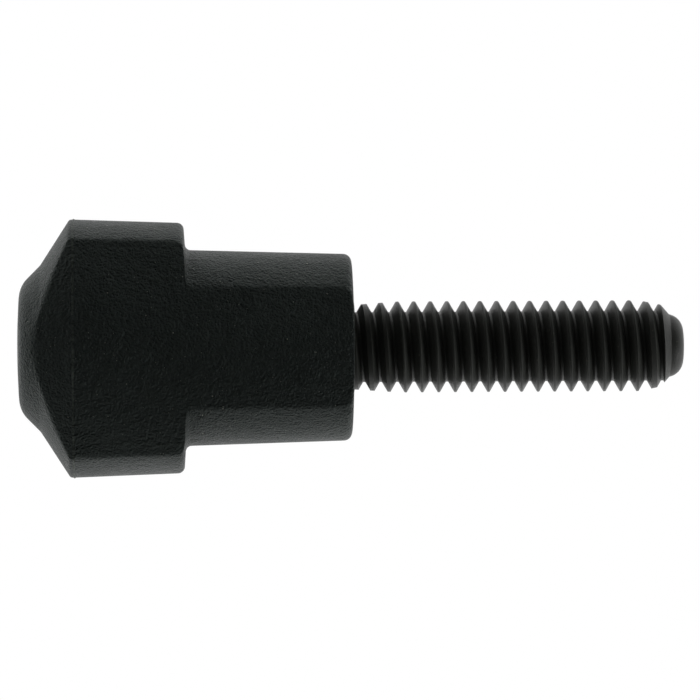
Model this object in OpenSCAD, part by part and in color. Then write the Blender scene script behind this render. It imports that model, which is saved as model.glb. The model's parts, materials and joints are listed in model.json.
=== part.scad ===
// Thumb screw: a moulded knob with two finger flats, on a threaded steel stud.
// The screw lies on one flat, with its axis along X and its point towards +X.
// The origin is the centre of the hub's end face, where the stud comes out.
// Sizes are in millimetres.

/* [Knob] */
// Length of the knob, from its end face to the hub's end face
knob_len = 28.55; // [26.5:0.05:34]
// Length of the round hub under the head
hub_len = 14.45; // [8:0.05:17]
// Depth of the shaped end, from the end face to the widest section
end_depth = 4.8; // [3.5:0.05:7]
// Diameter of the head at its widest section
head_d = 21.9; // [20:0.05:28]
// Diameter of the hub where it meets the head
hub_d = 16.65; // [13:0.05:18]
// Thickness across the flats at the widest section
grip_t = 14.65; // [11:0.05:16]
// Radius of the crown across each flat
flat_crown_r = 31; // [25:1:200]
// Draft of the head's round side, in degrees
head_draft = 2; // [0.5:0.1:3]
// Draft of the hub, in degrees
hub_draft = 1.6; // [0.5:0.1:3]
// Draft of the flats from the widest section to the hub's end, in degrees
flat_draft = 1.9; // [0.5:0.1:3]
// Draft of the flats from the widest section to the end face, in degrees
end_flat_draft = 13; // [1:0.1:15]
// Step in the flats at the parting line, where the mould's halves meet
mould_step = 0.04; // [0.02:0.01:0.1]
// Slope of the head's underside towards the hub, in degrees
underside_slope = 4; // [0:0.5:15]

/* [Knob end] */
// Diameter of the end face, measured to its sharp corner
end_face_d = 10.6; // [9:0.05:12]
// Radius of the end face's slight crown
end_crown_r = 76; // [40:1:200]
// Rounding of the end face's corner
end_corner_r = 2.4; // [0.5:0.1:2.6]
// Diameter of the bend between the end boss and the cone
bend_d = 14.15; // [13:0.05:17]
// Depth of that bend below the end face
bend_depth = 1.95; // [1.5:0.05:2.5]
// Rounding inside that bend
bend_r = 1.2; // [0.3:0.1:1.5]
// Width of the straight land between the cone and the widest section
rim_land = 0.35; // [0.1:0.05:0.8]
// Rounding of the rim
rim_r = 0.3; // [0.1:0.05:0.5]

/* [Knob edges] */
// Rounding of the head's lower corner
head_corner_r = 0.5; // [0.1:0.05:1]
// Fillet between the head and the hub
hub_fillet_r = 0.5; // [0.2:0.05:1.5]
// Rounding of the hub's end
hub_corner_r = 0.7; // [0.1:0.05:1]
// Height of the flash left along the mould's parting line
flash_h = 0.1; // [0.02:0.01:0.2]
// Width of that flash at its foot
flash_w = 0.3; // [0.1:0.05:0.5]

/* [Stud] */
// Length of the stud outside the knob
stud_len = 28.1; // [12:0.1:60]
// Major diameter of the thread
thread_d = 7.75; // [6:0.05:8]
// Pitch of the thread: 18 turns an inch
pitch = 1.411; // [1.25:0.001:1.5]
// Depth of the thread, from crest to root
thread_depth = 0.9; // [0.7:0.01:0.95]
// Half angle of the thread's groove, in degrees
flank_angle = 30; // [27:0.5:31]
// Diameter of the crests at the hub, where the thread starts low
start_d = 7.2; // [5.9:0.05:8]
// Length over which the crests rise to the major diameter
start_len = 4; // [0.5:0.1:6]
// Place of the first groove along the top line, past the hub's end face
first_groove = 0.157; // [0:0.001:1.4]

/* [Point] */
// Length over which the last crests fall away
fade_len = 1.95; // [0.5:0.05:4]
// Diameter of the last crest, where the thread breaks off
last_crest_d = 7; // [6:0.05:7.7]
// Slope from the last crest down to the nose, in degrees
break_angle = 49; // [30:1:60]
// Diameter of the bare nose where it meets the thread
nose_d = 5.35; // [4.5:0.05:5.9]
// Length of the nose
nose_len = 1.25; // [1:0.05:3]
// Half angle of the nose's taper, in degrees
nose_angle = 14; // [5:1:25]
// Rounding between the nose and the stud's end face
nose_round = 1.5; // [0.1:0.05:1.6]

/* [Anchor] */
// Length of the stud held inside the knob
anchor_len = 20; // [12:0.1:22]
// Height of the knurled collars over the plain shank
collar_h = 0.9; // [0.6:0.05:1.2]
// Length of each collar
collar_len = 4; // [2:0.1:4.5]
// Length of the neck between the two collars, which stops it from pulling out
neck_len = 1.5; // [0.5:0.1:3]
// Depth of the straight knurl
knurl_depth = 0.35; // [0.2:0.05:0.5]
// Teeth round the knurl
knurl_teeth = 24; // [16:1:32]
// Gap between the stud and the plastic moulded round it
mould_gap = 0; // [0:0.01:0.05]

/* [Hidden] */
$fn = 96;

round_steps = 6;      // segments in each rounded corner
crown_steps = 4;      // segments across the crown of the end face
turn_steps = 24;      // segments in each turn of the thread
groove_clear = 0.1;   // how far the groove's cutter stands out of the thread

end_x = -knob_len;
parting_x = end_depth - knob_len;
head_r = head_d / 2;
head_low_r = head_r - (-hub_len - parting_x) * tan(head_draft);
hub_r = hub_d / 2;
hub_end_r = hub_r - hub_len * tan(hub_draft);
hub_top_x = -hub_len + (head_low_r - hub_r) * tan(underside_slope);
reach = 2 * (knob_len + head_d);

thread_r = thread_d / 2;
collar_r = thread_r + collar_h;
root_r = thread_r - thread_depth;
root_half = pitch / 2 - pitch / 16 - thread_depth * tan(flank_angle);
nose_x = stud_len - nose_len;
last_crest_x = nose_x - (last_crest_d - nose_d) / 2 / tan(break_angle);
nose_side = nose_len / cos(nose_angle);
nose_r = min(nose_round, (nose_side - 0.05) * tan(45 + nose_angle / 2));

// ---- outlines ----

// An arc that rounds corner b between a and c with radius r
function rounded(a, b, c, r) =
    let (
        u = (a - b) / norm(a - b),
        v = (c - b) / norm(c - b),
        half = acos(u * v) / 2,
        centre = b + (u + v) / norm(u + v) * r / sin(half),
        from = b + u * r / tan(half) - centre,
        to = b + v * r / tan(half) - centre,
        start = atan2(from.y, from.x),
        turn = atan2(from.x * to.y - from.y * to.x, from * to)
    )
    [for (i = [0 : round_steps]) centre + r * [cos(start + turn * i / round_steps),
                                               sin(start + turn * i / round_steps)]];

// Turns corners [radius, x, rounding] into the points of an outline
function outline(corners) =
    [for (i = [0 : len(corners) - 1])
        let (b = [corners[i].x, corners[i].y], r = corners[i].z)
        each r == 0 ? [b] : rounded([corners[i - 1].x, corners[i - 1].y], b,
                                    [corners[i + 1].x, corners[i + 1].y], r)];

// The end face rises slightly towards its middle
function end_crown(r) = end_x + r * r / (2 * end_crown_r);

knob_outline = outline(concat(
    [for (i = [0 : crown_steps]) let (r = i * end_face_d / 4 / crown_steps) [r, end_crown(r), 0]],
    [
        [end_face_d / 2, end_crown(end_face_d / 2), end_corner_r],
        [bend_d / 2, end_x + bend_depth, bend_r],
        [head_r, parting_x - rim_land, rim_r],
        [head_r, parting_x - flash_w / 2, 0],
        [head_r + flash_h, parting_x, 0],
        [head_r, parting_x + flash_w / 2, 0],
        [head_low_r, -hub_len, head_corner_r],
        [hub_r, hub_top_x, hub_fillet_r],
        [hub_end_r, 0, hub_corner_r],
        [0, 0, 0]
    ]
));

rod_outline = outline([
    [0, 0, 0],
    [start_d / 2, 0, 0],
    [thread_r, start_len, 0],
    [thread_r, last_crest_x - fade_len, 0],
    [last_crest_d / 2, last_crest_x, 0],
    [nose_d / 2, nose_x, 0],
    [nose_d / 2 - nose_len * tan(nose_angle), stud_len, nose_r],
    [0, stud_len, 0]
]);

// ---- helpers ----

// Turns an outline of [radius, x] round the X axis
module turned(points) {
    rotate([0, 90, 0]) rotate_extrude() polygon(points);
}

// A long round bar along X, whose top line passes the widest section step below the flat's height
module crown_bar(draft, step) {
    translate([parting_x, 0, grip_t / 2 - step])
        rotate([0, 90 + draft, 0])
            translate([flat_crown_r, 0, 0])
                cylinder(h = reach, r = flat_crown_r, center = true);
}

// The space between the two crowned flats, which narrows towards +X
module between_flats(draft, step) {
    intersection() {
        crown_bar(draft, step);
        mirror([0, 0, 1]) crown_bar(draft, step);
    }
}

// The half space on the hub's side of the parting line
module hub_side() {
    translate([parting_x, -reach / 2, -reach / 2]) cube(reach);
}

// The knurled collar's section: a toothed ring
function knurl(tip_r) =
    [for (i = [0 : 2 * knurl_teeth - 1])
        let (r = tip_r - (i % 2 == 0 ? 0 : knurl_depth), a = 180 * i / knurl_teeth)
        r * [cos(a), sin(a)]];

module collar(x, gap) {
    translate([x - gap, 0, 0]) rotate([0, 90, 0])
        linear_extrude(collar_len + 2 * gap) polygon(knurl(collar_r + gap));
}

// The end of the stud that the knob is moulded round: a plain shank with two collars
module anchor(gap) {
    translate([-anchor_len - gap, 0, 0]) rotate([0, 90, 0])
        cylinder(h = anchor_len + gap, r = thread_r + gap);
    for (x = [-anchor_len, -anchor_len + collar_len + neck_len]) collar(x, gap);
}

// One section of the thread's groove, turned a degrees from the top line: [x, y, z] of its four corners
function groove_section(a) =
    let (
        x = first_groove + pitch * a / 360,
        outer = (thread_depth + groove_clear) * tan(flank_angle)
    )
    [for (q = [[thread_r + groove_clear, -root_half - outer], [root_r, -root_half],
               [root_r, root_half], [thread_r + groove_clear, root_half + outer]])
        [x + q.y, q.x * cos(a), q.x * sin(a)]];

// The groove that cuts the right-handed thread, from one turn inside the knob to past the point
module thread_groove() {
    sections = ceil((stud_len / pitch + 2) * turn_steps);
    points = [for (i = [0 : sections]) each groove_section(360 * (i / turn_steps - 1))];
    faces = concat(
        [[0, 1, 2, 3]],
        [for (i = [0 : sections - 1], k = [0 : 3])
            let (a = 4 * i + k, b = 4 * i + (k + 1) % 4)
            each [[a, b + 4, b], [a, a + 4, b + 4]]],
        [[for (k = [3 : -1 : 0]) 4 * sections + k]]
    );
    polyhedron(points, faces);
}

// ---- pieces ----

// The moulded knob: head, hub and shaped end in one piece, closed round the anchor
module knob() {
    color([0.1, 0.11, 0.1])
    difference() {
        union() {
            intersection() {
                turned(knob_outline);
                between_flats(flat_draft, 0);
                hub_side();
            }
            difference() {
                intersection() {
                    turned(knob_outline);
                    translate([2 * parting_x, 0, 0]) mirror([1, 0, 0])
                        between_flats(end_flat_draft, mould_step);
                }
                hub_side();
            }
        }
        anchor(mould_gap);
    }
}

// The steel stud: threaded rod with a short rounded nose, and the anchor inside the knob
module stud() {
    color([0.14, 0.14, 0.15])
    union() {
        anchor(0);
        difference() {
            turned(rod_outline);
            thread_groove();
        }
    }
}

knob();
stud();
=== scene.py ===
import json
import math

import bpy
from bpy.props import FloatProperty, FloatVectorProperty, PointerProperty
from mathutils import Matrix, Vector

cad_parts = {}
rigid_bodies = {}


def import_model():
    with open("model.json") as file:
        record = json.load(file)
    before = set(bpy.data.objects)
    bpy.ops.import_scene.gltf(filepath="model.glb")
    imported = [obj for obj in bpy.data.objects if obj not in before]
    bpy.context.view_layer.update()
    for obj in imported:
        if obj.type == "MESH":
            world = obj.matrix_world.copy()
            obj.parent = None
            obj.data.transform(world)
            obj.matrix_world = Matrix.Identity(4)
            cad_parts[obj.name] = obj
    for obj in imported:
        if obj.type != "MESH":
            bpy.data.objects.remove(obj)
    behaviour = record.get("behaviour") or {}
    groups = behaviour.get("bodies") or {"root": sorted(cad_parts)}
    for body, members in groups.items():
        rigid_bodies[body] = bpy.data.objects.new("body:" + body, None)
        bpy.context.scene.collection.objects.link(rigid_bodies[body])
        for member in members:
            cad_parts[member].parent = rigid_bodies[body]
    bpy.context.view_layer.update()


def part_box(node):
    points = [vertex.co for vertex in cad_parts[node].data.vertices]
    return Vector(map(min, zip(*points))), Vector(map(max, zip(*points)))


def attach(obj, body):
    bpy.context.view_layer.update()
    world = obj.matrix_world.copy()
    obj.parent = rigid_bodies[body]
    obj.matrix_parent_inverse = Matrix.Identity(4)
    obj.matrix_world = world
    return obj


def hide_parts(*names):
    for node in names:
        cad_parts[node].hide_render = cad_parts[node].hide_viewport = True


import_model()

bl_info = {
    "name": "Thumb screw",
    "version": (1, 0, 0),
    "blender": (4, 5, 0),
    "location": "3D View > Sidebar > Thumb screw",
    "description": "Models a thumb screw: a moulded knob with two flats on a threaded steel stud",
    "category": "Add Mesh",
}

MM = 0.001
KNOB_LOW, KNOB_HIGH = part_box("knob")
STUD_END_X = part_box("stud")[1].x


# ---- sizes and colours ----

def linear(hex_value):
    """Turns an sRGB hex colour into linear red, green, blue and alpha."""
    parts = [int(hex_value[i:i + 2], 16) / 255 for i in (1, 3, 5)]
    return [p / 12.92 if p <= 0.04045 else ((p + 0.055) / 1.055) ** 2.4 for p in parts] + [1.0]


def length(name, description, millimetres):
    """A length whose default is given in millimetres."""
    return FloatProperty(name=name, description=description, default=millimetres * MM, min=0.0,
                         subtype="DISTANCE", unit="LENGTH", precision=5)


def angle(name, description, degrees):
    """An angle whose default is given in degrees."""
    return FloatProperty(name=name, description=description, default=math.radians(degrees),
                         subtype="ANGLE", unit="ROTATION")


def colour(name, description, hex_value):
    """A colour whose default is given as an sRGB hex value."""
    return FloatVectorProperty(name=name, description=description, default=linear(hex_value),
                               min=0.0, max=1.0, size=4, subtype="COLOR")


class KnobSizes(bpy.types.PropertyGroup):
    head_d: length("Head diameter", "Diameter of the head at the parting line", 21.9)
    end_depth: length("End depth", "Depth of the shaped end, down to the parting line", 4.8)
    end_face_d: length("End face diameter", "Diameter of the end face, to its sharp corner", 10.6)
    end_crown: length("End crown", "Radius of the end face's slight crown", 76.0)
    bend_d: length("Bend diameter", "Diameter of the bend between the end boss and the cone", 14.15)
    bend_depth: length("Bend depth", "Depth of that bend below the end face", 1.95)
    hub_len: length("Hub length", "Length of the round hub under the head", 14.45)
    hub_d: length("Hub diameter", "Diameter of the hub where it meets the head", 16.65)
    flat_crown: length("Flat's crown", "Radius of the crown across each finger flat", 31.0)
    hub_crown: length("Hub crown", "Radius of the slight crown of the hub's end face", 130.0)
    flash: length("Flash height", "Height of the flash left along the mould's parting line", 0.1)
    head_draft: angle("Head draft", "Draft of the head's round side", 2.0)
    hub_draft: angle("Hub draft", "Draft of the hub", 1.6)
    underside: angle("Underside slope", "Slope of the head's underside towards the hub", 4.0)
    flat_draft: angle("Flat draft", "Draft of the flats from the parting line to the hub end", 1.9)
    end_draft: angle("End draft", "Draft of the flats from the parting line to the end face", 13.0)


class StudSizes(bpy.types.PropertyGroup):
    thread_d: length("Thread diameter", "Major diameter of the thread", 7.75)
    pitch: length("Pitch", "Pitch of the thread: 18 turns an inch", 1.411)
    depth: length("Thread depth", "Depth of the thread, from crest to root", 0.9)
    crest_round: length("Crest rounding", "Rounding of the rolled crest's two corners", 0.09)
    root_round: length("Root rounding", "Rounding of the groove's two corners", 0.08)
    first_groove: length("First groove", "Place of the first groove on the +Y line", 0.157)
    start_d: length("Start diameter", "Diameter of the low crests at the hub", 7.2)
    start_len: length("Start length", "Length over which the crests rise to the full diameter", 4.0)
    fade_len: length("Fade length", "Length over which the last crests fall away", 1.95)
    last_crest_d: length("Last crest diameter", "Diameter of the crest where the thread ends", 7.0)
    break_angle: angle("Break angle", "Slope from the last crest down to the nose", 49.0)
    nose_d: length("Nose diameter", "Diameter of the bare nose where it meets the thread", 5.35)
    nose_len: length("Nose length", "Length of the bare nose", 1.25)
    nose_angle: angle("Nose angle", "Half angle of the nose's taper", 14.0)
    nose_round: length("Nose rounding", "Rounding between the nose and its end face", 1.4)
    nose_crown: length("Nose crown", "Radius of the crown of the nose's end face", 9.0)
    anchor_len: length("Anchor length", "Length of the stud that the knob is moulded round", 20.0)
    collar_h: length("Collar height", "Height of the anchor's knurled collars over the shank", 0.9)
    collar_len: length("Collar length", "Length of each knurled collar", 4.0)
    neck_len: length("Neck length", "Length of the neck between the two collars", 1.5)
    knurl_depth: length("Knurl depth", "Depth of the straight knurl", 0.35)


class Finishes(bpy.types.PropertyGroup):
    plastic: colour("Plastic", "Colour of the moulded knob", "#080b0a")
    plastic_worn: colour("Plastic, rubbed", "Colour of the knob where it is rubbed", "#191c18")
    # Flash: the colour of the strained plastic, which also serves as a painted highlight on the lit
    # edge of the mould's step.
    flash: colour("Flash", "Colour of the strained plastic along the parting line", "#666b62")
    gloss: colour("Gloss", "Tint of the gloss on the knob", "#e9fff7")
    dust: colour("Dust", "Colour of the dust specks in the grain", "#b4b0a2")
    oxide: colour("Black oxide", "Colour of the stud's black oxide", "#575955")
    rubbed: colour("Rubbed crest", "Colour of the crests where the oxide is rubbed thin", "#5a5c58")
    table: colour("Table", "Colour of the white table", "#f2f2f2")


# ---- modelling by hand ----

def deselect_all():
    """Starts a piece from an empty selection, because the loaded model is selected."""
    bpy.ops.object.select_all(action="DESELECT")


def make_active(piece):
    """Selects just this piece and makes it the active one."""
    deselect_all()
    piece.select_set(True)
    bpy.context.view_layer.objects.active = piece


def apply_modifier(piece, kind, **settings):
    """Adds a modifier with its settings and applies it."""
    make_active(piece)
    bpy.ops.object.modifier_add(type=kind)
    modifier = piece.modifiers[-1]
    for name, value in settings.items():
        setattr(modifier, name, value)
    if bpy.ops.object.modifier_apply(modifier=modifier.name) != {"FINISHED"}:
        raise RuntimeError(f"{kind} could not be applied to {piece.name}")


def cut(piece, operation, tool):
    """Joins, cuts or trims a piece with a tool, and deletes the tool."""
    apply_modifier(piece, "BOOLEAN", operation=operation, object=tool, solver="EXACT")
    bpy.data.objects.remove(tool)


def rounded(a, b, c, radius, steps=7):
    """Points along the arc that rounds corner b between a and c."""
    u, v = (a - b).normalized(), (c - b).normalized()
    half = u.angle(v) / 2
    centre = b + (u + v).normalized() * radius / math.sin(half)
    arm = b + u * radius / math.tan(half) - centre
    turn = arm.angle_signed(b + v * radius / math.tan(half) - centre)
    return [centre + Matrix.Rotation(-turn * i / steps, 2) @ arm for i in range(steps + 1)]


def outline(corners, longest=None):
    """Turns corners (x, r, rounding) into an outline's points, none further apart than longest."""
    points = []
    for i, (x, r, rounding) in enumerate(corners):
        here = Vector((x, r))
        if rounding:
            before, after = Vector(corners[i - 1][:2]), Vector(corners[i + 1][:2])
            points += rounded(before, here, after, rounding)
        else:
            points.append(here)
    if longest is None:
        return points
    spaced = [points[0]]
    for a, b in zip(points, points[1:]):
        parts = max(1, math.ceil((b - a).length / longest))
        spaced += [a.lerp(b, i / parts) for i in range(1, parts + 1)]
    return spaced


def draw_line(name, points):
    """A chain of edges: a plane merged to one vertex, which is extruded from point to point."""
    deselect_all()
    bpy.ops.mesh.primitive_plane_add(size=MM)
    piece = bpy.context.object
    piece.name = piece.data.name = name
    bpy.ops.object.mode_set(mode="EDIT")
    bpy.ops.mesh.select_mode(type="VERT")
    bpy.ops.mesh.merge(type="CENTER")
    bpy.ops.transform.translate(value=points[0])
    for a, b in zip(points, points[1:]):
        bpy.ops.mesh.extrude_region_move(TRANSFORM_OT_translate={"value": b - a})
    bpy.ops.object.mode_set(mode="OBJECT")
    return piece


def close_up(piece):
    """Merges what meets and points the faces outwards."""
    make_active(piece)
    bpy.ops.object.mode_set(mode="EDIT")
    bpy.ops.mesh.select_all(action="SELECT")
    bpy.ops.mesh.remove_doubles(threshold=0.0002 * MM)
    bpy.ops.mesh.normals_make_consistent(inside=False)
    bpy.ops.object.mode_set(mode="OBJECT")


def turned(name, points, sides):
    """A solid turned round X from an outline of (x, r) that starts and ends on the axis."""
    piece = draw_line(name, [Vector((x, r, 0)) for x, r in points])
    apply_modifier(piece, "SCREW", axis="X", steps=sides, render_steps=sides,
                   use_merge_vertices=True, merge_threshold=0.0001 * MM)
    close_up(piece)
    return piece


def select_where(piece, test):
    """Goes into edit mode with just those vertices selected that pass the test."""
    make_active(piece)
    bpy.ops.object.mode_set(mode="EDIT")
    bpy.ops.mesh.select_mode(type="VERT")
    bpy.ops.mesh.select_all(action="DESELECT")
    bpy.ops.object.mode_set(mode="OBJECT")
    for vertex in piece.data.vertices:
        vertex.select = test(vertex)
    bpy.ops.object.mode_set(mode="EDIT")


def finish_piece(piece, node, material, smooth_angle):
    """Smooths a piece's shading, gives it its material and lets it stand for its CAD node."""
    make_active(piece)
    bpy.ops.object.shade_smooth_by_angle(angle=smooth_angle)
    piece.data.materials.clear()
    piece.data.materials.append(material)
    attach(piece, "root")
    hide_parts(node)


# ---- materials ----

def spacing(millimetres):
    """Scale of a texture on Object coordinates whose features are that many millimetres apart."""
    return 1 / (millimetres * MM)


def add_node(tree, kind, inputs=None, **settings):
    """Adds a node with its settings, and fills its inputs with values or links from sockets."""
    node = tree.nodes.new(kind)
    for name, value in settings.items():
        setattr(node, name, value)
    for name, value in (inputs or {}).items():
        if isinstance(value, bpy.types.NodeSocket):
            tree.links.new(value, node.inputs[name])
        else:
            node.inputs[name].default_value = value
    return node


def new_material(name):
    """A new material, its tree, its shader and the Object coordinates that its patterns read."""
    material = bpy.data.materials.new(name)
    material.use_nodes = True
    tree = material.node_tree
    place = add_node(tree, "ShaderNodeTexCoord").outputs["Object"]
    return material, tree, tree.nodes["Principled BSDF"], place


def moulded_nylon(finishes, sizes):
    """Black nylon, moulded in a spark-eroded tool: dull, with a fine grain that breaks up light.

    The grain holds pale dust; the flash along the parting line is strained a little paler and also
    carries a painted highlight of the mould step's lit edge.
    """
    material, tree, shader, place = new_material("moulded_black_nylon")
    # Spark-eroded grain is about 0.05 mm across; it is drawn at 0.2 mm, the finest that shows.
    grain = add_node(tree, "ShaderNodeTexNoise", {
        "Vector": place, "Scale": spacing(0.2), "Detail": 2.0, "Roughness": 0.6}).outputs["Fac"]
    # The melt's flow along the knob draws the broader unevenness out along X.
    flow_place = add_node(tree, "ShaderNodeMapping", {
        "Vector": place, "Scale": (0.7, 1, 1)}).outputs["Vector"]
    flow = add_node(tree, "ShaderNodeTexNoise", {
        "Vector": flow_place, "Scale": spacing(0.7), "Detail": 3.0,
        "Roughness": 0.65}).outputs["Fac"]
    patches = add_node(tree, "ShaderNodeTexNoise", {
        "Vector": place, "Scale": spacing(6.0), "Detail": 2.0}).outputs["Fac"]

    rubbed = add_node(tree, "ShaderNodeMath", {0: flow, 1: grain}, operation="MULTIPLY").outputs[0]
    rubbed = add_node(tree, "ShaderNodeMapRange", {
        "Value": rubbed, "From Min": 0.2, "From Max": 0.36}).outputs["Result"]
    base = add_node(tree, "ShaderNodeMix", {
        "Factor": rubbed, "A": finishes.plastic[:], "B": finishes.plastic_worn[:]},
        data_type="RGBA")

    # The pale line along the parting line is broken, so it comes and goes: it is strained flash,
    # and also a painted highlight on the lit edge of the mould's small step.
    x = add_node(tree, "ShaderNodeSeparateXYZ", {"Vector": place}).outputs["X"]
    off_line = add_node(tree, "ShaderNodeMath", {
        0: x, 1: KNOB_LOW.x + sizes.end_depth}, operation="SUBTRACT").outputs[0]
    off_line = add_node(tree, "ShaderNodeMath", {0: off_line}, operation="ABSOLUTE").outputs[0]
    pale_line_and_highlight = add_node(tree, "ShaderNodeMapRange", {
        "Value": off_line, "From Min": 0.05 * MM, "From Max": 0.13 * MM,
        "To Min": 1.0, "To Max": 0.0}).outputs["Result"]
    broken = add_node(tree, "ShaderNodeMapRange", {
        "Value": flow, "From Min": 0.35, "From Max": 0.6}).outputs["Result"]
    pale_line_and_highlight = add_node(tree, "ShaderNodeMath", {
        0: pale_line_and_highlight, 1: broken}, operation="MULTIPLY").outputs[0]
    with_pale_line_and_highlight = add_node(tree, "ShaderNodeMix", {
        "Factor": pale_line_and_highlight, "A": base.outputs["Result"], "B": finishes.flash[:]}, data_type="RGBA")

    specks = dust_specks(tree, place, 0.8)
    dusty = add_node(tree, "ShaderNodeMix", {
        "Factor": specks, "A": with_pale_line_and_highlight.outputs["Result"], "B": finishes.dust[:]},
        data_type="RGBA")
    tree.links.new(dusty.outputs["Result"], shader.inputs["Base Color"])

    roughness = add_node(tree, "ShaderNodeMapRange", {
        "Value": patches, "From Min": 0.3, "From Max": 0.7, "To Min": 0.41, "To Max": 0.49})
    tree.links.new(roughness.outputs["Result"], shader.inputs["Roughness"])
    shader.inputs["IOR"].default_value = 1.53
    shader.inputs["Specular Tint"].default_value = finishes.gloss[:]

    broad = add_node(tree, "ShaderNodeBump", {
        "Strength": 1.0, "Distance": 0.34 * MM, "Height": flow})
    fine = add_node(tree, "ShaderNodeBump", {
        "Strength": 1.0, "Distance": 0.42 * MM, "Height": grain, "Normal": broad.outputs["Normal"]})
    tree.links.new(fine.outputs["Normal"], shader.inputs["Normal"])
    return material


def dust_specks(tree, place, cell_width):
    """How much dust lies where: sparse bright specks in cells of a given width, and faint ones.

    Each kind has its cells' width in mm, the share of cells that stay empty, the radius of its
    widest speck as a share of the cell, and the strength of its brightest speck.
    """
    bright, faint = (cell_width, 0.2, 0.09, 1.0), (0.35, 0.4, 0.16, 0.45)
    shares = []
    for apart, empty, widest, strongest in (bright, faint):
        cells = add_node(tree, "ShaderNodeTexVoronoi", {"Vector": place, "Scale": spacing(apart)})
        draws = add_node(tree, "ShaderNodeSeparateColor", {"Color": cells.outputs["Color"]})
        size = add_node(tree, "ShaderNodeMapRange", {
            "Value": draws.outputs["Red"], "From Min": empty, "To Min": 0.0, "To Max": widest})
        inside = add_node(tree, "ShaderNodeMath", {
            0: cells.outputs["Distance"], 1: size.outputs["Result"]}, operation="LESS_THAN")
        strength = add_node(tree, "ShaderNodeMapRange", {
            "Value": draws.outputs["Green"], "To Min": 0.15, "To Max": strongest})
        shares.append(add_node(tree, "ShaderNodeMath", {
            0: inside.outputs[0], 1: strength.outputs["Result"]}, operation="MULTIPLY").outputs[0])
    return add_node(tree, "ShaderNodeMath", {
        0: shares[0], 1: shares[1]}, operation="MAXIMUM").outputs[0]


def black_oxide_steel(finishes, sizes):
    """Rolled steel thread, blacked: a thin dark oxide with a low sheen, rubbed paler on the crests.

    The oxide hides the metal under it, so the thread shines weakly, as a dull coat does.
    """
    material, tree, shader, place = new_material("black_oxide_steel")
    # Rolling and blacking leave marks about 0.1 mm apart; they are drawn 0.15 mm apart, to show.
    marks = add_node(tree, "ShaderNodeTexNoise", {
        "Vector": place, "Scale": spacing(0.15), "Detail": 3.0, "Roughness": 0.6}).outputs["Fac"]
    stains = add_node(tree, "ShaderNodeTexNoise", {
        "Vector": place, "Scale": spacing(1.6), "Detail": 4.0}).outputs["Fac"]
    across = add_node(tree, "ShaderNodeMapping", {
        "Vector": place, "Scale": (0, 1, 1)}).outputs["Vector"]
    radius = add_node(tree, "ShaderNodeVectorMath", {
        0: across}, operation="LENGTH").outputs["Value"]
    crest_r, rubbed_depth = sizes.thread_d / 2, 0.1 * MM
    crest = add_node(tree, "ShaderNodeMapRange", {
        "Value": radius, "From Min": crest_r - rubbed_depth, "From Max": crest_r}).outputs["Result"]
    rubbing = add_node(tree, "ShaderNodeMapRange", {
        "Value": stains, "From Min": 0.3, "From Max": 0.7, "To Min": 0.3}).outputs["Result"]
    crest = add_node(tree, "ShaderNodeMath", {
        0: crest, 1: rubbing}, operation="MULTIPLY").outputs[0]
    base = add_node(tree, "ShaderNodeMix", {
        "Factor": crest, "A": finishes.oxide[:], "B": finishes.rubbed[:]}, data_type="RGBA")
    specks = dust_specks(tree, place, 0.6)
    dusty = add_node(tree, "ShaderNodeMix", {
        "Factor": specks, "A": base.outputs["Result"], "B": finishes.dust[:]}, data_type="RGBA")
    tree.links.new(dusty.outputs["Result"], shader.inputs["Base Color"])
    roughness = add_node(tree, "ShaderNodeMapRange", {
        "Value": stains, "From Min": 0.3, "From Max": 0.7, "To Min": 0.36, "To Max": 0.44})
    tree.links.new(roughness.outputs["Result"], shader.inputs["Roughness"])
    shader.inputs["Specular IOR Level"].default_value = 0.32
    bump = add_node(tree, "ShaderNodeBump", {
        "Strength": 1.0, "Distance": 0.03 * MM, "Height": marks})
    tree.links.new(bump.outputs["Normal"], shader.inputs["Normal"])
    return material


# ---- the knob ----

def knob_corners(s):
    """Corners of the knob's outline, from its end face to the hub's end: (x, r, rounding)."""
    end_corner, bend_round, rim_round = 2.4 * MM, 1.2 * MM, 0.3 * MM
    head_corner, hub_fillet, hub_corner = 0.6 * MM, 0.5 * MM, 0.7 * MM
    rim_land = 0.35 * MM
    flash_rings = (-0.12 * MM, -0.05 * MM, 0, 0.05 * MM, 0.12 * MM)
    end_x = KNOB_LOW.x
    parting_x = end_x + s.end_depth
    head_r, hub_r, face_r = s.head_d / 2, s.hub_d / 2, s.end_face_d / 2
    head_low_r = head_r - (-s.hub_len - parting_x) * math.tan(s.head_draft)
    hub_end_r = hub_r - s.hub_len * math.tan(s.hub_draft)
    # Points across the two crowned faces, which stop short of their rounded corners.
    end_face = [(end_x + r * r / (2 * s.end_crown), r, 0)
                for r in (face_r * i / 12 for i in range(7))]
    hub_face = [(-r * r / (2 * s.hub_crown), r, 0)
                for r in (hub_end_r * i / 10 for i in range(8, -1, -1))]
    return [
        *end_face,
        (end_x + face_r ** 2 / (2 * s.end_crown), face_r, end_corner),
        (end_x + s.bend_depth, s.bend_d / 2, bend_round),
        (parting_x - rim_land, head_r, rim_round),
        *((parting_x + off, head_r, 0) for off in flash_rings),
        (-s.hub_len, head_low_r, head_corner),
        (-s.hub_len + (head_low_r - hub_r) * math.tan(s.underside), hub_r, hub_fillet),
        (-hub_end_r ** 2 / (2 * s.hub_crown), hub_end_r, hub_corner),
        *hub_face,
    ]


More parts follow.
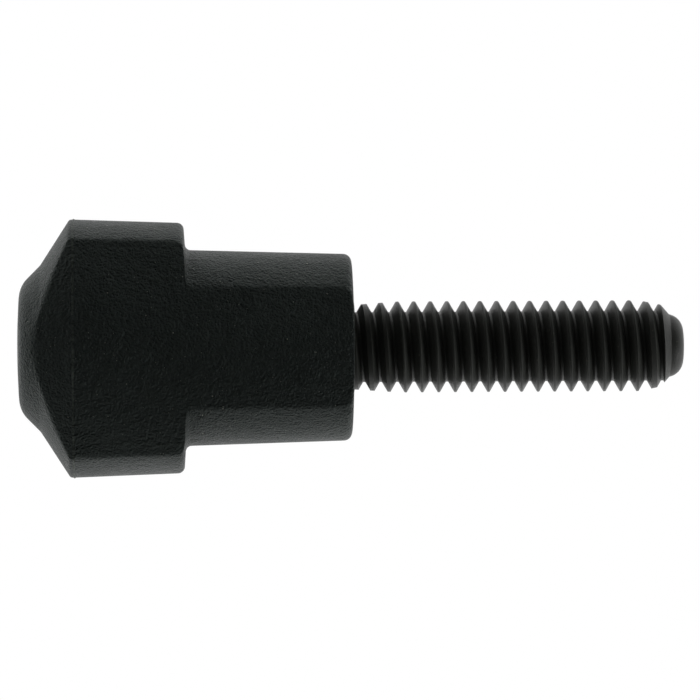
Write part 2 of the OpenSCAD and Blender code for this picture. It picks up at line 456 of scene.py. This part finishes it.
def flat_sheet(s, side):
    """A crowned sheet over the flat of one side, 1 or -1: a folded line spun about the crown."""
    inside, margin, lip_round = 0.02 * MM, 1.0 * MM, 0.3 * MM
    lip_x, lip_foot_x = 0.02 * MM, 0.06 * MM
    reach, strips = math.radians(24), 200
    parting_x, top = KNOB_LOW.x + s.end_depth, KNOB_HIGH.z - inside
    hub_end_top = top + parting_x * math.tan(s.flat_draft)
    lip_foot = Vector((lip_foot_x, 0))
    fold = [Vector((KNOB_LOW.x - margin, top - (s.end_depth + margin) * math.tan(s.end_draft))),
            Vector((parting_x, top))]
    fold += rounded(fold[-1], Vector((lip_x, hub_end_top)), lip_foot, lip_round)
    fold.append(lip_foot)
    centre_z = top - s.flat_crown
    points = [Vector((x, -side * (h - centre_z) * math.sin(reach),
                      side * (centre_z + (h - centre_z) * math.cos(reach)))) for x, h in fold]
    sheet = draw_line("flat_sheet", points)
    bpy.ops.object.mode_set(mode="EDIT")
    bpy.ops.mesh.select_all(action="SELECT")
    bpy.ops.mesh.spin(steps=strips, angle=2 * reach, center=(0, 0, side * centre_z),
                      axis=(1, 0, 0))
    bpy.ops.object.mode_set(mode="OBJECT")
    return sheet


def grind_flat(piece, s, side):
    """Lays what stands over one flat down onto it and softens the edge that this leaves."""
    moved, edge_width = 0.0001 * MM, 4
    sheet = flat_sheet(s, side)
    before = [vertex.co.z for vertex in piece.data.vertices]
    apply_modifier(piece, "SHRINKWRAP", target=sheet, wrap_method="PROJECT", use_project_z=True,
                   use_negative_direction=side > 0, use_positive_direction=side < 0)
    bpy.data.objects.remove(sheet)
    select_where(piece, lambda vertex: abs(vertex.co.z - before[vertex.index]) > moved)
    bpy.ops.mesh.region_to_loop()
    bpy.ops.mesh.select_mode(type="VERT")
    for _ in range(edge_width):
        bpy.ops.mesh.select_more()
    bpy.ops.mesh.vertices_smooth(factor=0.5, repeat=8)
    bpy.ops.object.mode_set(mode="OBJECT")


def raise_flash(piece, s):
    """Draws the rings at the parting line outwards to a low, ragged ridge of flash."""
    foot, ridge, off_flats = 0.07 * MM, 0.025 * MM, 0.05 * MM
    foot_share, ridge_share, ragged_share = 0.3, 0.4, 0.3
    parting_x = KNOB_LOW.x + s.end_depth

    def select_rings(half_width):
        select_where(piece, lambda vertex: abs(vertex.co.x - parting_x) < half_width
                     and math.hypot(vertex.co.y, vertex.co.z) > s.head_d / 2 - off_flats)

    for half_width, share in ((foot, foot_share), (ridge, ridge_share)):
        select_rings(half_width)
        bpy.ops.transform.shrink_fatten(value=s.flash * share)
        bpy.ops.object.mode_set(mode="OBJECT")
    select_rings(ridge)
    bpy.ops.transform.vertex_random(offset=s.flash * ragged_share, uniform=0, normal=1, seed=7)
    bpy.ops.object.mode_set(mode="OBJECT")


class THUMBSCREW_OT_knob(bpy.types.Operator):
    """Models the moulded knob: turned outline, two flats, flash and the cavity round the stud"""
    bl_idname = "thumb_screw.knob"
    bl_label = "Knob"

    def execute(self, context):
        sides, longest, anchor_reach = 400, 0.32 * MM, 0.5 * MM
        sizes = context.scene.thumb_screw_knob
        knob = turned("moulded_knob", outline(knob_corners(sizes), longest), sides)
        for side in (1, -1):
            grind_flat(knob, sizes, side)
        raise_flash(knob, sizes)
        cut(knob, "DIFFERENCE", anchor(context.scene.thumb_screw_stud, anchor_reach))
        finish_piece(knob, "knob", moulded_nylon(context.scene.thumb_screw_finishes, sizes),
                     math.radians(35))
        return {"FINISHED"}


# ---- the stud ----

def anchor(s, reach):
    """The stud's hidden end: a plain shank with two knurled collars, which ends at x = reach."""
    sides, teeth, groove_from, groove_to = 96, 24, 0.4, 0.85
    shank_r, collar_r = s.thread_d / 2, s.thread_d / 2 + s.collar_h
    low = -s.anchor_len
    neck_low, neck_high = low + s.collar_len, low + s.collar_len + s.neck_len
    high = neck_high + s.collar_len
    corners = [(low, 0), (low, collar_r), (neck_low, collar_r), (neck_low, shank_r),
               (neck_high, shank_r), (neck_high, collar_r), (high, collar_r), (high, shank_r),
               (reach, shank_r), (reach, 0)]
    body = turned("anchor", corners, sides)

    def in_groove(vertex):
        y, z = vertex.co.yz
        share = math.atan2(z, y) * teeth / (2 * math.pi) % 1
        return math.hypot(y, z) > (shank_r + collar_r) / 2 and groove_from < share < groove_to

    select_where(body, in_groove)
    groove = 1 - s.knurl_depth / collar_r
    bpy.ops.transform.resize(value=(1, groove, groove), center_override=(0, 0, 0))
    bpy.ops.object.mode_set(mode="OBJECT")
    return body


def threaded_bar(s):
    """The thread as a closed bar, longer than needed: one pitch of its line, screwed along X."""
    flank_angle, steps, spare_turns = math.radians(30), 64, 2
    crest_r, half = s.thread_d / 2, s.pitch / 2
    root_r, crest_half = crest_r - s.depth, s.pitch / 16
    root_half = half - crest_half - s.depth * math.tan(flank_angle)
    start_x = s.first_groove - spare_turns * s.pitch
    one_pitch = [(0, root_r, 0), (root_half, root_r, s.root_round),
                 (half - crest_half, crest_r, s.crest_round),
                 (half + crest_half, crest_r, s.crest_round),
                 (s.pitch - root_half, root_r, s.root_round), (s.pitch, root_r, 0)]
    line = outline([(start_x + x, r, rounding) for x, r, rounding in one_pitch])
    bar = draw_line("threaded_bar", [Vector((x, r, 0)) for x, r in line])
    turns = math.ceil((STUD_END_X - start_x) / s.pitch) + spare_turns
    apply_modifier(bar, "SCREW", axis="X", screw_offset=s.pitch, iterations=turns, steps=steps,
                   render_steps=steps, use_merge_vertices=False)
    close_up(bar)
    middle = STUD_END_X / 2
    # Each open end is drawn together to a point: first the low one, then the one that is left.
    for only_low_end in (True, False):
        bpy.ops.object.mode_set(mode="EDIT")
        bpy.ops.mesh.select_mode(type="EDGE")
        bpy.ops.mesh.select_non_manifold(extend=False, use_wire=False, use_boundary=True,
                                         use_multi_face=False, use_non_contiguous=False,
                                         use_verts=False)
        if only_low_end:
            bpy.ops.object.mode_set(mode="OBJECT")
            for edge in bar.data.edges:
                if bar.data.vertices[edge.vertices[0]].co.x > middle:
                    edge.select = False
            bpy.ops.object.mode_set(mode="EDIT")
        bpy.ops.mesh.extrude_region_move(TRANSFORM_OT_translate={"value": (0, 0, 0)})
        bpy.ops.mesh.merge(type="CENTER")
        bpy.ops.object.mode_set(mode="OBJECT")
    close_up(bar)
    return bar


def envelope(s):
    """The turned shape that trims the thread: low first crests, full crests, break and nose."""
    start_blend, fade_blend, break_round, nose_foot = 12 * MM, 4 * MM, 0.3 * MM, 0.08 * MM
    over_crests, inside_knob, sides = 0.01 * MM, 0.5 * MM, 144
    full_r, last_r, nose_r = s.thread_d / 2 + over_crests, s.last_crest_d / 2, s.nose_d / 2
    end_x = STUD_END_X
    nose_x = end_x - s.nose_len
    last_x = nose_x - (last_r - nose_r) / math.tan(s.break_angle)
    corner_r = nose_r - s.nose_len * math.tan(s.nose_angle)
    face = [(end_x - r * r / (2 * s.nose_crown), r, 0)
            for r in (corner_r * i / 8 for i in (3, 2, 1, 0))]
    return turned("envelope", outline([
        (-inside_knob, 0, 0), (-inside_knob, s.start_d / 2, 0), (0, s.start_d / 2, 0),
        (s.start_len, full_r, start_blend), (last_x - s.fade_len, full_r, fade_blend),
        (last_x, last_r, break_round), (nose_x, nose_r, nose_foot),
        (end_x - corner_r ** 2 / (4 * s.nose_crown), corner_r, s.nose_round)] + face), sides)


class THUMBSCREW_OT_stud(bpy.types.Operator):
    """Models the steel stud: rolled right-hand thread, short rounded nose and knurled hidden end"""
    bl_idname = "thumb_screw.stud"
    bl_label = "Stud"

    def execute(self, context):
        sizes = context.scene.thumb_screw_stud
        stud = threaded_bar(sizes)
        stud.name = stud.data.name = "threaded_stud"
        cut(stud, "INTERSECT", envelope(sizes))
        cut(stud, "UNION", anchor(sizes, 0))
        finish_piece(stud, "stud", black_oxide_steel(context.scene.thumb_screw_finishes, sizes),
                     math.radians(30))
        return {"FINISHED"}


# ---- the stage ----

def lamp(name, place, size, radiance):
    """A square soft lamp that faces the screw. A radiance of 1 is as bright as white."""
    light = bpy.data.lights.new(name, "AREA")
    light.size = size
    light.energy = radiance * math.pi * size ** 2
    holder = bpy.data.objects.new(name, light)
    bpy.context.scene.collection.objects.link(holder)
    holder.location = place
    holder.rotation_euler = (-Vector(place)).to_track_quat("-Z", "Y").to_euler()


def any_of(tree, rays):
    """A socket that is 1 for rays of these Light Path kinds and 0 for the rest."""
    path = add_node(tree, "ShaderNodeLightPath")
    seen = path.outputs[rays[0]]
    for ray in rays[1:]:
        seen = add_node(tree, "ShaderNodeMath", {
            0: seen, 1: path.outputs[ray]}, operation="MAXIMUM").outputs[0]
    return seen


def white_table(finishes):
    """A matt white table, which the camera and the gloss see as plain white, with no shadow."""
    material = bpy.data.materials.new("white_table")
    material.use_nodes = True
    tree = material.node_tree
    tree.nodes.clear()
    seen = any_of(tree, ("Is Camera Ray", "Is Glossy Ray", "Is Transmission Ray"))
    matt = add_node(tree, "ShaderNodeBsdfDiffuse", {"Color": finishes.table[:]})
    glow = add_node(tree, "ShaderNodeEmission", {"Color": (1, 1, 1, 1), "Strength": 1.0})
    mixed = add_node(tree, "ShaderNodeMixShader", {
        0: seen, 1: matt.outputs[0], 2: glow.outputs[0]})
    add_node(tree, "ShaderNodeOutputMaterial", {"Surface": mixed.outputs[0]})
    return material


def studio_world():
    """Pale walls that light the sides, and a dark ceiling that hardly lights the top.

    The camera sees it as plain white.
    """
    wall, ceiling, ceiling_from = 0.58, 0.02, 0.36
    world = bpy.data.worlds.new("studio")
    world.use_nodes = True
    tree = world.node_tree
    tree.nodes.clear()
    seen = any_of(tree, ("Is Camera Ray", "Is Transmission Ray"))
    up = add_node(tree, "ShaderNodeSeparateXYZ", {
        "Vector": add_node(tree, "ShaderNodeTexCoord").outputs["Generated"]}).outputs["Z"]
    strength = add_node(tree, "ShaderNodeMapRange", {
        "Value": up, "From Min": 0.0, "From Max": ceiling_from, "To Min": wall, "To Max": ceiling})
    fill = add_node(tree, "ShaderNodeBackground", {
        "Color": (1, 1, 1, 1), "Strength": strength.outputs["Result"]})
    white = add_node(tree, "ShaderNodeBackground", {"Color": (1, 1, 1, 1), "Strength": 1.0})
    mixed = add_node(tree, "ShaderNodeMixShader", {
        0: seen, 1: fill.outputs[0], 2: white.outputs[0]})
    add_node(tree, "ShaderNodeOutputWorld", {"Surface": mixed.outputs[0]})
    return world


def top_camera():
    """A camera nearly straight above, leant by the draft of the flat that the screw lies on."""
    distance, view_width = 0.45, 59.52 * MM
    lean, turn = math.radians(1.9), math.radians(-0.3)
    aim = Vector((-0.33 * MM, -0.24 * MM, 0))
    camera = bpy.data.cameras.new("camera")
    camera.sensor_width = 36
    camera.lens = camera.sensor_width * distance / view_width
    camera.clip_start, camera.clip_end = 0.1, 10
    holder = bpy.data.objects.new("camera", camera)
    holder.rotation_euler = (0, -lean, turn)
    holder.location = aim + holder.rotation_euler.to_matrix() @ Vector((0, 0, distance))
    return holder


class THUMBSCREW_OT_stage(bpy.types.Operator):
    """Sets the screw on a white table under soft studio light, with the camera above it"""
    bl_idname = "thumb_screw.stage"
    bl_label = "Table, light and camera"

    def execute(self, context):
        scene = context.scene
        deselect_all()
        bpy.ops.mesh.primitive_plane_add(size=6)
        floor = context.object
        floor.name = "table"
        floor.data.transform(Matrix.Translation((0, 0, KNOB_LOW.z)))
        floor.data.materials.append(white_table(scene.thumb_screw_finishes))
        scene.world = studio_world()
        lamp("main_softbox", (0.73, -0.36, 0.15), 0.3, 2.9)
        scene.view_settings.view_transform = "Standard"
        scene.camera = top_camera()
        scene.collection.objects.link(scene.camera)
        return {"FINISHED"}


# ---- add-on ----

class THUMBSCREW_PT_panel(bpy.types.Panel):
    """Lists the thumb screw's sizes, finishes and pieces"""
    bl_idname = "THUMBSCREW_PT_panel"
    bl_label = "Thumb screw"
    bl_space_type = "VIEW_3D"
    bl_region_type = "UI"
    bl_category = "Thumb screw"

    def draw(self, context):
        scene = context.scene
        for group in (scene.thumb_screw_knob, scene.thumb_screw_stud, scene.thumb_screw_finishes):
            box = self.layout.box()
            for name in group.bl_rna.properties.keys():
                if name not in ("rna_type", "name"):
                    box.prop(group, name)
        for operator in STEPS:
            self.layout.operator(operator.bl_idname)


GROUPS = {"thumb_screw_knob": KnobSizes, "thumb_screw_stud": StudSizes,
          "thumb_screw_finishes": Finishes}
STEPS = (THUMBSCREW_OT_knob, THUMBSCREW_OT_stud, THUMBSCREW_OT_stage)


def register():
    for cls in (*GROUPS.values(), *STEPS, THUMBSCREW_PT_panel):
        bpy.utils.register_class(cls)
    for name, group in GROUPS.items():
        setattr(bpy.types.Scene, name, PointerProperty(type=group))


def unregister():
    for name in GROUPS:
        delattr(bpy.types.Scene, name)
    for cls in (THUMBSCREW_PT_panel, *reversed(STEPS), *reversed(list(GROUPS.values()))):
        bpy.utils.unregister_class(cls)


def main():
    register()
    bpy.ops.thumb_screw.knob()
    bpy.ops.thumb_screw.stud()
    bpy.ops.thumb_screw.stage()


if __name__ == "__main__":
    main()
